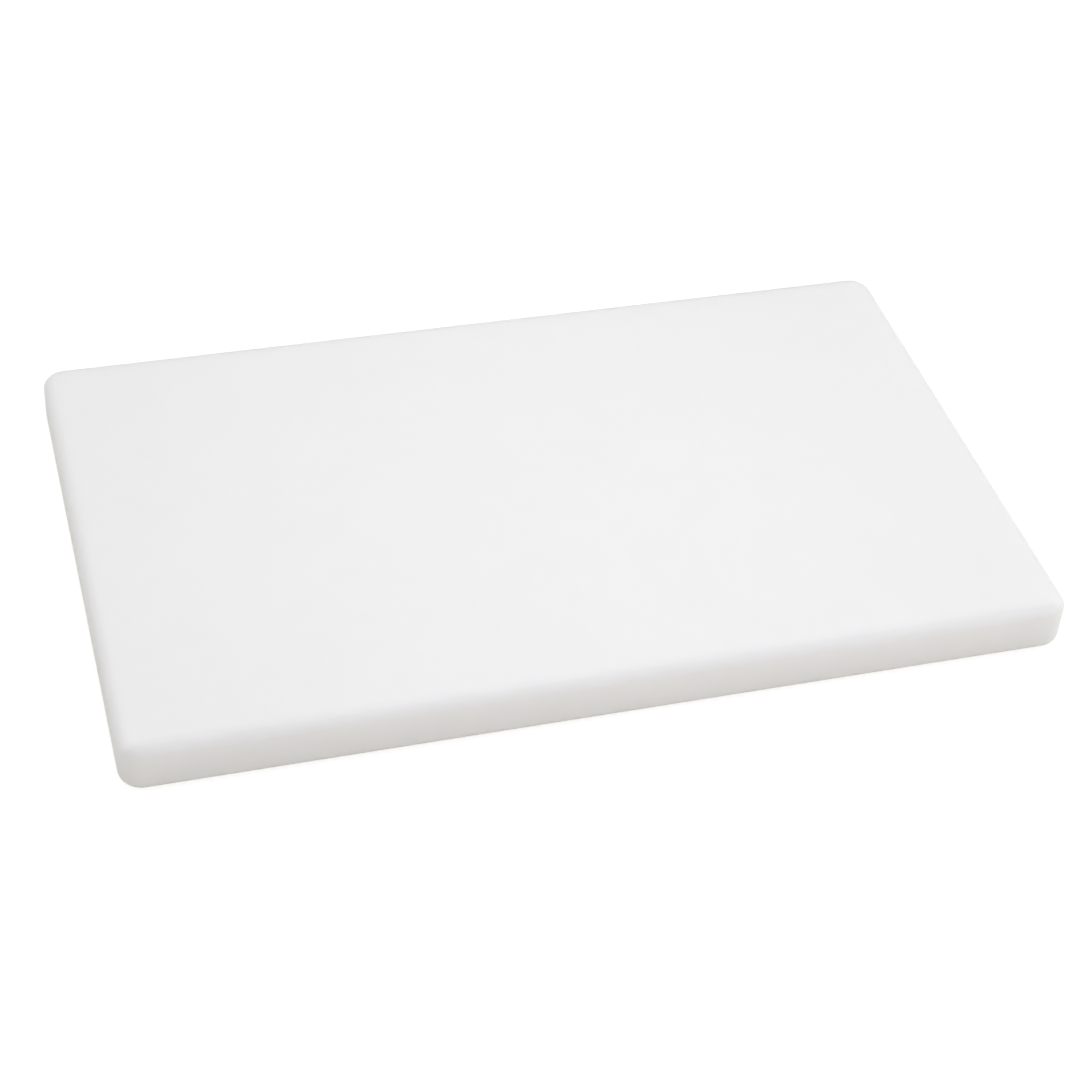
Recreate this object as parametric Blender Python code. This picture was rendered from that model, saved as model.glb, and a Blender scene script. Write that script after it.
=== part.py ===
"""White plastic cutting board: one solid slab of polyethylene, cut from thick sheet and rounded all over.

The slab lies flat on the XY plane with its middle at the origin and its long side along X. It is used on
either face, so the underside is the same as the top. Units are metres.
"""

import bmesh
import bpy

# Driving dimensions
BOARD_LENGTH = 0.530
BOARD_WIDTH = 0.325
BOARD_THICKNESS = 0.030
CORNER_RADIUS = 0.013  # the four corners, seen from above
RIM_RADIUS = 0.006  # the round along the edge of each face, all the way about

# Facets across each round
CORNER_FACETS = 18
RIM_FACETS = 10
ROUND_PROFILE = 0.5  # a bevel profile of one half is a true quarter circle

# Finish of the white polyethylene
PLASTIC_COLOUR = (0.875, 0.872, 0.868, 1.0)
PLASTIC_ROUGHNESS = 0.46
PLASTIC_METALLIC = 0.0

FLAT_TOLERANCE = 1e-6


def clear_scene():
    for obj in list(bpy.data.objects):
        bpy.data.objects.remove(obj, do_unlink=True)


def sheet_blank(work):
    """The sawn piece of sheet: a sharp-edged block that stands on z = 0."""
    bmesh.ops.create_cube(work, size=1.0)
    bmesh.ops.scale(work, vec=(BOARD_LENGTH, BOARD_WIDTH, BOARD_THICKNESS), verts=work.verts)
    bmesh.ops.translate(work, vec=(0.0, 0.0, BOARD_THICKNESS / 2), verts=work.verts)


def upright_edges(work):
    """The four edges that run from face to face."""
    return [edge for edge in work.edges if abs(edge.verts[0].co.z - edge.verts[1].co.z) > FLAT_TOLERANCE]


def rim_edges(work):
    """The closed loops of edges round the top and the bottom face."""
    return [edge for edge in work.edges if abs(edge.verts[0].co.z - edge.verts[1].co.z) < FLAT_TOLERANCE]


def round_over(work, edges, radius, facets):
    """Turn sharp edges into a quarter round of the given radius, as a router bit does."""
    bmesh.ops.bevel(
        work,
        geom=edges,
        affect="EDGES",
        offset_type="OFFSET",
        offset=radius,
        segments=facets,
        profile=ROUND_PROFILE,
        clamp_overlap=True,
    )


def board_mesh():
    """The blank with its corners rounded first and then its two rims, so that the rims run round the corners."""
    work = bmesh.new()
    sheet_blank(work)
    round_over(work, upright_edges(work), CORNER_RADIUS, CORNER_FACETS)
    round_over(work, rim_edges(work), RIM_RADIUS, RIM_FACETS)
    bmesh.ops.recalc_face_normals(work, faces=work.faces)
    mesh = bpy.data.meshes.new("cutting_board")
    work.to_mesh(mesh)
    work.free()
    mesh.shade_smooth()
    return mesh


def white_polyethylene():
    material = bpy.data.materials.new("white_polyethylene")
    material.use_nodes = True
    shader = material.node_tree.nodes["Principled BSDF"]
    shader.inputs["Base Color"].default_value = PLASTIC_COLOUR
    shader.inputs["Roughness"].default_value = PLASTIC_ROUGHNESS
    shader.inputs["Metallic"].default_value = PLASTIC_METALLIC
    return material


def main():
    clear_scene()
    board = bpy.data.objects.new("cutting_board", board_mesh())
    board.data.materials.append(white_polyethylene())
    board.modifiers.new("flat_faces_shade_flat", "WEIGHTED_NORMAL")
    bpy.context.scene.collection.objects.link(board)


main()
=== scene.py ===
"""Looks of the white plastic cutting board: routed polyethylene slab, studio floor, soft light and camera.

Units are metres. The board lies on z = 0 with its long side along X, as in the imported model.
"""

import math

import bpy
from mathutils import Matrix, Vector


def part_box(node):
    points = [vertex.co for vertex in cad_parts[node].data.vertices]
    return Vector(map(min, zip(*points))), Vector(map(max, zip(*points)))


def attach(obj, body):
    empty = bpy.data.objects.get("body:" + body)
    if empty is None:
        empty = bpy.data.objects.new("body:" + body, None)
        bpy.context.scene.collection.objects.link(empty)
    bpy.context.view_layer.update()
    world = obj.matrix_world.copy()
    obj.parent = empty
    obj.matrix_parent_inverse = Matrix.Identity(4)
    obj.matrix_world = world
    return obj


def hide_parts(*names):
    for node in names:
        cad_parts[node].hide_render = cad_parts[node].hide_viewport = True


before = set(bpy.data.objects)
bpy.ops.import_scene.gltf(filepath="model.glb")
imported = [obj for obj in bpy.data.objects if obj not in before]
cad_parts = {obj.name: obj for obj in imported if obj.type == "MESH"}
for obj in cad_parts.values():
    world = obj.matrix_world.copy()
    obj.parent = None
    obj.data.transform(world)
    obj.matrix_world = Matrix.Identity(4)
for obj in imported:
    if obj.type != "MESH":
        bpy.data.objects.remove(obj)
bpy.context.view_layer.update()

# The board
CORNER_RADIUS = 0.013
RIM_RADIUS = 0.006

# Witness line: a shallow step that the rounding bit left beside the near rim, at its left end
LINE_DEPTH = 0.00006
LINE_HALF_WIDTH = 0.0004
LINE_LEFT_END = -0.252
LINE_RIGHT_END = -0.105
LINE_FADE_LEFT = 0.006
LINE_FADE_RIGHT = 0.080

# Rows of facets, counted inwards from the middle of a rim's round
RIM_ROWS = 10
LINE_ROWS = 8
CORNER_ROWS = 8
LENGTH_ROWS = 64
WIDTH_ROWS = 40
WALL_ROWS = 12

# White polyethylene
CLOUD_LIGHT = (0.890, 0.881, 0.886)
CLOUD_SHADE = (0.872, 0.866, 0.874)
CLOUD_SIZE = 0.036
CLOUD_OCTAVES = 3.0
CLOUD_CRISPNESS = 0.68
PLAIN_CRISPNESS = 0.5  # strength of each finer octave of a mottle, beside the one before
MOTTLE_RANGE = (0.2, 0.8)  # the part of a mottle's 0 to 1 that its blotches fill

# Painted shade on the rounded rims: the share of red, green and blue taken out of the white there
RIM_PAINTED_SHADE = (0.112, 0.111, 0.109)
OTHER_RIMS_SHARE = 0.45  # how much of the near rim's shade the other three have
RIM_SHADE_INSET = 0.0036  # seen from above, it is full as far in as this
RIM_SHADE_FADE = 0.0027
RIM_SHADE_DEPTHS = (0.0005, RIM_RADIUS)  # below a face it goes out between these depths

# Painted shade, cooler and slightly darker, in a margin inside the rims and on the sides
MARGIN_PAINTED_SHADE = (0.020, 0.017, 0.008)
MARGIN_WIDTH = 0.028

# Painted shadow of the witness line's step, in a band just inside it
PAINTED_STEP_SHADOW = (0.009, 0.009, 0.008)
STEP_SHADOW_PLACE = RIM_RADIUS + LINE_HALF_WIDTH
STEP_SHADOW_WIDTH = 0.0032

# Satin gloss, the glow of light inside the sheet, pressed grain and planed sides
PLASTIC_IOR = 1.50
SATIN_ROUGHNESS = (0.57, 0.65)
SATIN_SIZE = 0.012
GLOW_DEPTH = 0.014
GLOW_SPREAD = (1.0, 1.0, 1.0)  # red, green and blue reach equally far
GRAIN_SIZE = 0.0009
GRAIN_HEIGHT = 0.000008
GRAIN_OCTAVES = 2.0
PLANING_PITCH = 0.0011
PLANING_HEIGHT = 0.000006
PLANING_STRETCH = (0.02, 0.02, 1.0)

# Studio
PURE_WHITE = (1.0, 1.0, 1.0, 1.0)
FLOOR_SIZE = 12.0
FLOOR_DROP = 0.0001
FLOOR_COLOUR = (0.95, 0.92, 0.845)
FLOOR_SHOWN_WHITE = (0.70, 1.0)  # share of white by the board, where its shadow falls, and far from it
FLOOR_FAR_FROM = (0.45, 0.90)  # distances from the board's middle, between which the share rises
WHITE_STRENGTH = 1.20
SKY_STRENGTH = 0.20
SKY_SHOWN_STRENGTH = 1.0
LAMP_TARGET = (0.0, 0.0, 0.03)

# Soft boxes: place, width, height and strength
SOFT_BOXES = {
    "top_box": ((0.1, 0.0, 0.9), 1.0, 0.7, 0.626),
    "left_box": ((-1.1, -0.12, 1.45), 1.0, 2.0, 0.215),
    "left_back_box": ((-1.3, 0.7, 1.0), 1.0, 1.4, 0.125),
    "low_right_box": ((1.6, 0.0, 0.5), 0.8, 1.4, 0.28),
    "low_front_fill": ((0.2, -1.7, 0.4), 1.8, 0.6, 0.155),
    "right_fill": ((1.2, -1.2, 0.6), 1.2, 0.8, 0.075),
}

# Camera, solved from the outline in the photograph
CAMERA_TURN = math.radians(-19.065)
CAMERA_TILT = math.radians(48.787)
CAMERA_ROLL = math.radians(4.906)
CAMERA_SIDEWAYS = 0.01558
CAMERA_UPWARDS = -0.00964
CAMERA_DISTANCE = 1.42623
CAMERA_LENS_MM = 81.11
CAMERA_SENSOR_MM = 36.0
CAMERA_SHIFT = (-0.02064, 0.0)


class Field:
    """One number in a node tree. Arithmetic on it adds the math nodes that work it out."""

    def __init__(self, tree, socket):
        self.tree = tree
        self.socket = socket

    def maths(self, operation, *others):
        node = self.tree.nodes.new("ShaderNodeMath")
        node.operation = operation
        for place, value in enumerate((self, *others)):
            plug(self.tree, value, node.inputs[place])
        return Field(self.tree, node.outputs[0])

    def __add__(self, other):
        return self.maths("ADD", other)

    def __sub__(self, other):
        return self.maths("SUBTRACT", other)

    def __rsub__(self, other):
        return self * -1.0 + other

    def __mul__(self, other):
        return self.maths("MULTIPLY", other)

    def __truediv__(self, other):
        return self.maths("DIVIDE", other)

    def at_least(self, other):
        return self.maths("MAXIMUM", other)

    def at_most(self, other):
        return self.maths("MINIMUM", other)

    def size(self):
        return self.maths("ABSOLUTE")

    def side(self):
        return self.maths("SIGN")


def plug(tree, value, socket):
    """Set an input to a number, a Field or another node's output."""
    if isinstance(value, Field):
        value = value.socket
    if isinstance(value, bpy.types.NodeSocket):
        tree.links.new(value, socket)
    else:
        socket.default_value = value


def add_node(tree, kind, inputs=(), **settings):
    node = tree.nodes.new(kind)
    for name, value in settings.items():
        setattr(node, name, value)
    for name, value in dict(inputs).items():
        plug(tree, value, node.inputs[name])
    return node


def ramp(tree, value, start, end, low=0.0, high=1.0, shape="LINEAR"):
    """value taken from start..end to low..high, and held there beyond both ends."""
    node = add_node(tree, "ShaderNodeMapRange", interpolation_type=shape, clamp=True)
    for place, number in enumerate((value, start, end, low, high)):
        plug(tree, number, node.inputs[place])
    return Field(tree, node.outputs[0])


def spaced(tree, row, zones):
    """Distance inwards of a row, where each zone is (rows in it, its width)."""
    passed, width = zones[0]
    distance = ramp(tree, row, 0.0, passed, 0.0, width)
    for rows, width in zones[1:]:
        distance = distance + ramp(tree, row, passed, passed + rows, 0.0, width)
        passed = passed + rows
    return distance


def open_inputs(tree, sizes):
    """Named inputs of a geometry tree, and a Field for each."""
    kinds = {int: "NodeSocketInt", float: "NodeSocketFloat"}
    tree.interface.new_socket("Mesh", in_out="OUTPUT", socket_type="NodeSocketGeometry")
    for name, value in sizes.items():
        kind = kinds.get(type(value), "NodeSocketMaterial")
        tree.interface.new_socket(name, in_out="INPUT", socket_type=kind)
    source = tree.nodes.new("NodeGroupInput")
    return {name: Field(tree, source.outputs[name]) for name in sizes}


def routed_slab_tree(sizes):
    """A block of facets that is folded into a slab with rounded corners and rims.

    The block is a grid whose cells are one unit wide. Each row gets its distance from the block's edge,
    measured along the finished surface, and the block's edge becomes the middle of the rim's round.
    """
    tree = bpy.data.node_groups.new("routed slab", "GeometryNodeTree")
    given = open_inputs(tree, sizes)
    half_length = given["Length"] * 0.5
    half_width = given["Width"] * 0.5
    half_thickness = given["Thickness"] * 0.5
    rim = given["Rim radius"]
    corner = given["Corner radius"]
    line = given["Line half width"]
    half_arc = rim * (math.pi / 4)

    edge_rows = given["Rim rows"] + given["Line rows"] + given["Corner rows"]
    length_rows = given["Length rows"] + edge_rows * 2.0
    width_rows = given["Width rows"] + edge_rows * 2.0
    height_rows = given["Wall rows"] + given["Rim rows"] * 2.0
    block_size = add_node(
        tree, "ShaderNodeCombineXYZ", {"X": length_rows, "Y": width_rows, "Z": height_rows}
    )
    block = add_node(
        tree,
        "GeometryNodeMeshCube",
        {
            "Size": block_size.outputs[0],
            "Vertices X": length_rows + 1.0,
            "Vertices Y": width_rows + 1.0,
            "Vertices Z": height_rows + 1.0,
        },
    )
    position = add_node(tree, "GeometryNodeInputPosition").outputs["Position"]
    parts = add_node(tree, "ShaderNodeSeparateXYZ", {0: position})
    x, y, z = (Field(tree, socket) for socket in parts.outputs)

    straight_x = half_length - corner
    straight_y = half_width - corner
    corner_reach = corner - rim + half_arc
    edge_zones = [
        (given["Rim rows"], half_arc - line),
        (given["Line rows"], line * 2.0),
        (given["Corner rows"], corner_reach - half_arc - line),
    ]
    length_zones = edge_zones + [(given["Length rows"] * 0.5, straight_x)]
    width_zones = edge_zones + [(given["Width rows"] * 0.5, straight_y)]
    height_zones = [(given["Rim rows"], half_arc), (given["Wall rows"] * 0.5, half_thickness - rim)]
    from_end = spaced(tree, length_rows * 0.5 - x.size(), length_zones)
    from_side = spaced(tree, width_rows * 0.5 - y.size(), width_zones)
    from_face = spaced(tree, height_rows * 0.5 - z.size(), height_zones)

    # Round the rims: how far a row has turned from the wall to the face, and where that puts it
    inwards = from_end.at_most(from_side)
    turn = ((inwards - from_face) / rim + math.pi / 4).at_least(0.0).at_most(math.pi / 2)
    inset = rim - rim * turn.maths("COSINE") + (inwards - half_arc).at_least(0.0)
    drop = rim - rim * turn.maths("SINE") + (from_face - half_arc).at_least(0.0)

    # Round the corners: the square block's rows past the straight sides go round in arcs
    along_x = straight_x + corner_reach - from_end
    along_y = straight_y + corner_reach - from_side
    corner_x = (along_x - straight_x).at_least(0.0)
    corner_y = (along_y - straight_y).at_least(0.0)
    bearing = ((corner_y - corner_x) / corner_x.at_least(corner_y) + 1.0) * (math.pi / 4)
    radius = (corner - inset).at_least(0.0)
    folded_x = (along_x.at_most(straight_x) + radius * bearing.maths("COSINE")) * x.side()
    folded_y = (along_y.at_most(straight_y) + radius * bearing.maths("SINE")) * y.side()

    # Score the witness line, where the near rim meets the upper face
    across = (inwards - half_arc).size() / line
    hollow = (1.0 - across * across).at_least(0.0)
    start = ramp(tree, folded_x, given["Line left end"], given["Line left full"], shape="SMOOTHSTEP")
    end = ramp(tree, folded_x, given["Line right full"], given["Line right end"], 1.0, 0.0, "SMOOTHSTEP")
    near_top = ((z.side() - y.side()) * 0.5).at_least(0.0).maths("FLOOR")
    scored = hollow * hollow * start * end * near_top * given["Line depth"]
    height = half_thickness + z.side() * (half_thickness - drop) - scored

    folded_place = add_node(tree, "ShaderNodeCombineXYZ", {"X": folded_x, "Y": folded_y, "Z": height})
    folded = add_node(
        tree, "GeometryNodeSetPosition", {"Geometry": block.outputs[0], "Position": folded_place.outputs[0]}
    )
    smooth = add_node(tree, "GeometryNodeSetShadeSmooth", {"Geometry": folded.outputs[0]})
    real = add_node(tree, "GeometryNodeRealizeInstances", {"Geometry": smooth.outputs[0]})
    finished = add_node(
        tree, "GeometryNodeSetMaterial", {"Geometry": real.outputs[0], "Material": given["Material"]}
    )
    sink = tree.nodes.new("NodeGroupOutput")
    tree.links.new(finished.outputs[0], sink.inputs["Mesh"])
    return tree


def mesh_from_tree(name, tree, sizes):
    """Run a geometry tree on an empty object and keep its result as a plain mesh."""
    piece = bpy.data.objects.new(name, bpy.data.meshes.new(name))
    bpy.context.scene.collection.objects.link(piece)
    modifier = piece.modifiers.new(tree.name, "NODES")
    modifier.node_group = tree
    for item in tree.interface.items_tree:
        if item.in_out == "INPUT":
            modifier[item.identifier] = sizes[item.name]
    shown = piece.evaluated_get(bpy.context.evaluated_depsgraph_get())
    mesh = bpy.data.meshes.new_from_object(shown)
    piece.modifiers.remove(modifier)
    mesh.materials.clear()
    mesh.materials.append(sizes["Material"])
    piece.data = mesh
    return piece


def mottle(tree, place, size, octaves, crispness=PLAIN_CRISPNESS):
    """Smooth blotches between 0 and 1, about the given size across, with finer ones inside them."""
    noise = add_node(
        tree,
        "ShaderNodeTexNoise",
        {"Vector": place, "Scale": 1.0 / size, "Detail": octaves, "Roughness": crispness},
    )
    return Field(tree, noise.outputs[0])


def clouded_white(tree, place):
    """The white of the sheet, which is a touch darker and cooler in soft clouds."""
    clouds = mottle(tree, place, CLOUD_SIZE, CLOUD_OCTAVES, CLOUD_CRISPNESS)
    between = add_node(tree, "ShaderNodeValToRGB", {"Fac": clouds})
    shade, light = between.color_ramp.elements
    shade.position, light.position = MOTTLE_RANGE
    shade.color = (*CLOUD_SHADE, 1.0)
    light.color = (*CLOUD_LIGHT, 1.0)
    return between.outputs["Color"]


def shaded(tree, colour, loss, amount):
    """The colour darkened by painted shade: a share of it lost where the amount is 1, and less of it
    elsewhere.
    """
    lost = add_node(tree, "ShaderNodeVectorMath", {0: loss, "Scale": amount * -1.0}, operation="SCALE")
    kept = add_node(tree, "ShaderNodeVectorMath", {0: lost.outputs[0], 1: (1.0, 1.0, 1.0)}, operation="ADD")
    left = add_node(tree, "ShaderNodeVectorMath", {0: colour, 1: kept.outputs[0]}, operation="MULTIPLY")
    return left.outputs[0]


def near_a_rim(inwards):
    """1 on a rim, and ever less of it further inwards."""
    past_rim = (inwards - RIM_SHADE_INSET).at_least(0.0) / RIM_SHADE_FADE
    return (past_rim * past_rim + 1.0).maths("POWER", -1.0)


def shaded_places(tree, place, low, high):
    """Fields from 0 to 1, which say where shade is painted: on the rims, in the margins and on the sides,
    and in the shadow of the witness line's step beside the near rim.
    """
    parts = add_node(tree, "ShaderNodeSeparateXYZ", {0: place})
    x, y, z = (Field(tree, socket) for socket in parts.outputs)
    from_near = y - low.y
    from_others = (high.x - x.size()).at_most(high.y - y)
    from_face = (z - low.z).at_most(high.z - z)
    by_face = ramp(tree, from_face, *RIM_SHADE_DEPTHS, 1.0, 0.0)
    by_side = near_a_rim(from_near).at_least(near_a_rim(from_others) * OTHER_RIMS_SHARE)
    painted_rim_shade = by_face * by_side
    painted_margin_shade = ramp(tree, from_near.at_most(from_others), 0.0, MARGIN_WIDTH, 1.0, 0.0, "SMOOTHSTEP")

    inside_line = (from_near - STEP_SHADOW_PLACE).side().at_least(0.0)
    upper_half = (z - high.z / 2).side().at_least(0.0)
    beside_line = ramp(tree, from_near, STEP_SHADOW_PLACE, STEP_SHADOW_PLACE + STEP_SHADOW_WIDTH, 1.0, 0.0)
    start = ramp(tree, x, LINE_LEFT_END, LINE_LEFT_END + LINE_FADE_LEFT)
    end = ramp(tree, x, LINE_RIGHT_END - LINE_FADE_RIGHT, LINE_RIGHT_END, 1.0, 0.0)
    step_shadow = beside_line * inside_line * upper_half * start * end
    return painted_rim_shade, painted_margin_shade, step_shadow


def satin_relief(tree, place):
    """The sheet's pressed grain, and fine lines along the sides that the planing cutter left."""
    grain = mottle(tree, place, GRAIN_SIZE, GRAIN_OCTAVES)
    pressed = add_node(tree, "ShaderNodeBump", {"Height": grain, "Distance": GRAIN_HEIGHT})
    drawn_out = add_node(tree, "ShaderNodeVectorMath", {0: place, 1: PLANING_STRETCH}, operation="MULTIPLY")
    lines = mottle(tree, drawn_out.outputs[0], PLANING_PITCH, GRAIN_OCTAVES)
    planed = add_node(
        tree, "ShaderNodeBump", {"Height": lines, "Distance": PLANING_HEIGHT, "Normal": pressed.outputs[0]}
    )
    return planed.outputs[0]


def white_polyethylene(low, high):
    """Milky plastic that light sinks into: faintly clouded, with a satin face and planed sides."""
    material = bpy.data.materials.new("white polyethylene")
    material.use_nodes = True
    tree = material.node_tree
    place = add_node(tree, "ShaderNodeTexCoord").outputs["Object"]
    satin = mottle(tree, place, SATIN_SIZE, CLOUD_OCTAVES)
    white = clouded_white(tree, place)
    # Painted shade taken out of the white: on the rims, in the margins and on the sides, and the witness
    # line step's shadow
    for loss, amount in zip((RIM_PAINTED_SHADE, MARGIN_PAINTED_SHADE, PAINTED_STEP_SHADOW), shaded_places(tree, place, low, high)):
        white = shaded(tree, white, loss, amount)
    shader = tree.nodes["Principled BSDF"]
    look = {
        "Base Color": white,
        "Roughness": ramp(tree, satin, *MOTTLE_RANGE, *SATIN_ROUGHNESS),
        "IOR": PLASTIC_IOR,
        "Subsurface Weight": 1.0,
        "Subsurface Radius": GLOW_SPREAD,
        "Subsurface Scale": GLOW_DEPTH,
        "Normal": satin_relief(tree, place),
    }
    for name, value in look.items():
        plug(tree, value, shader.inputs[name])
    return material


def routed_board():
    """The whole board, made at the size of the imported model."""
    low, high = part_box("cutting_board")
    sizes = {
        "Length": high.x - low.x,
        "Width": high.y - low.y,
        "Thickness": high.z - low.z,
        "Corner radius": CORNER_RADIUS,
        "Rim radius": RIM_RADIUS,
        "Line depth": LINE_DEPTH,
        "Line half width": LINE_HALF_WIDTH,
        "Line left end": LINE_LEFT_END,
        "Line left full": LINE_LEFT_END + LINE_FADE_LEFT,
        "Line right full": LINE_RIGHT_END - LINE_FADE_RIGHT,
        "Line right end": LINE_RIGHT_END,
        "Rim rows": RIM_ROWS,
        "Line rows": LINE_ROWS,
        "Corner rows": CORNER_ROWS,
        "Length rows": LENGTH_ROWS,
        "Width rows": WIDTH_ROWS,
        "Wall rows": WALL_ROWS,
        "Material": white_polyethylene(low, high),
    }
    board = mesh_from_tree("routed_board", routed_slab_tree(sizes), sizes)
    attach(board, "root")
    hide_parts("cutting_board")
    return board


def seen_directly(tree):
    """1 for rays from the camera, for reflections and for what is seen through glass, otherwise 0."""
    path = add_node(tree, "ShaderNodeLightPath").outputs
    camera, glossy, glass = (
        Field(tree, path[name]) for name in ("Is Camera Ray", "Is Glossy Ray", "Is Transmission Ray")
    )
    return camera.at_least(glossy).at_least(glass)


def floor_paint():
    """Pale floor that is shown white, with the board's soft shadow still on it."""
    material = bpy.data.materials.new("pale floor")
    material.use_nodes = True
    tree = material.node_tree
    tree.nodes.remove(tree.nodes["Principled BSDF"])
    matt = add_node(tree, "ShaderNodeBsdfDiffuse", {"Color": (*FLOOR_COLOUR, 1.0)})
    white = add_node(tree, "ShaderNodeEmission", {"Strength": WHITE_STRENGTH})
    place = add_node(tree, "ShaderNodeTexCoord").outputs["Object"]
    away = add_node(tree, "ShaderNodeVectorMath", {0: place}, operation="LENGTH").outputs["Value"]
    share = seen_directly(tree) * ramp(tree, away, *FLOOR_FAR_FROM, *FLOOR_SHOWN_WHITE)
    mixed = add_node(tree, "ShaderNodeMixShader", {0: share, 1: matt.outputs[0], 2: white.outputs[0]})
    tree.links.new(mixed.outputs[0], tree.nodes["Material Output"].inputs["Surface"])
    return material


def studio_floor():
    half = FLOOR_SIZE / 2
    mesh = bpy.data.meshes.new("studio_floor")
    corners = [(-half, -half), (half, -half), (half, half), (-half, half)]
    mesh.from_pydata([(x, y, -FLOOR_DROP) for x, y in corners], [], [(0, 1, 2, 3)])
    mesh.materials.append(floor_paint())
    floor = bpy.data.objects.new("studio_floor", mesh)
    bpy.context.scene.collection.objects.link(floor)


def studio_sky():
    """Even light from all round, shown as white."""
    world = bpy.data.worlds.new("studio sky")
    world.use_nodes = True
    tree = world.node_tree
    light = tree.nodes["Background"]
    light.inputs["Color"].default_value = PURE_WHITE
    light.inputs["Strength"].default_value = SKY_STRENGTH
    white = add_node(tree, "ShaderNodeBackground", {"Color": PURE_WHITE, "Strength": SKY_SHOWN_STRENGTH})
    shown = seen_directly(tree)
    mixed = add_node(tree, "ShaderNodeMixShader", {0: shown, 1: light.outputs[0], 2: white.outputs[0]})
    tree.links.new(mixed.outputs[0], tree.nodes["World Output"].inputs["Surface"])
    bpy.context.scene.world = world


def soft_box(name, place, width, height, strength):
    """A wide lamp. A face turned to it, where the board lies, gets what a sky of that strength gives."""
    lamp = bpy.data.lights.new(name, "AREA")
    lamp.shape = "RECTANGLE"
    lamp.size = width
    lamp.size_y = height
    offset = Vector(place) - Vector(LAMP_TARGET)
    lamp.energy = strength * math.pi * math.pi * offset.length_squared
    box = bpy.data.objects.new(name, lamp)
    box.location = place
    box.rotation_euler = offset.to_track_quat("Z", "Y").to_euler()
    box.visible_camera = False
    bpy.context.scene.collection.objects.link(box)


def place_camera():
    camera = bpy.data.cameras.new("camera")
    camera.sensor_width = CAMERA_SENSOR_MM
    camera.lens = CAMERA_LENS_MM
    camera.shift_x, camera.shift_y = CAMERA_SHIFT
    holder = bpy.data.objects.new("camera", camera)
    bpy.context.scene.collection.objects.link(holder)
    aim = (
        Matrix.Rotation(CAMERA_TURN, 4, "Z")
        @ Matrix.Rotation(CAMERA_TILT, 4, "X")
        @ Matrix.Rotation(CAMERA_ROLL, 4, "Z")
    )
    holder.matrix_world = aim @ Matrix.Translation((CAMERA_SIDEWAYS, CAMERA_UPWARDS, CAMERA_DISTANCE))
    bpy.context.scene.camera = holder


routed_board()
studio_floor()
studio_sky()
for lamp_name, lamp_settings in SOFT_BOXES.items():
    soft_box(lamp_name, *lamp_settings)
place_camera()
bpy.context.scene.view_settings.view_transform = "Standard"
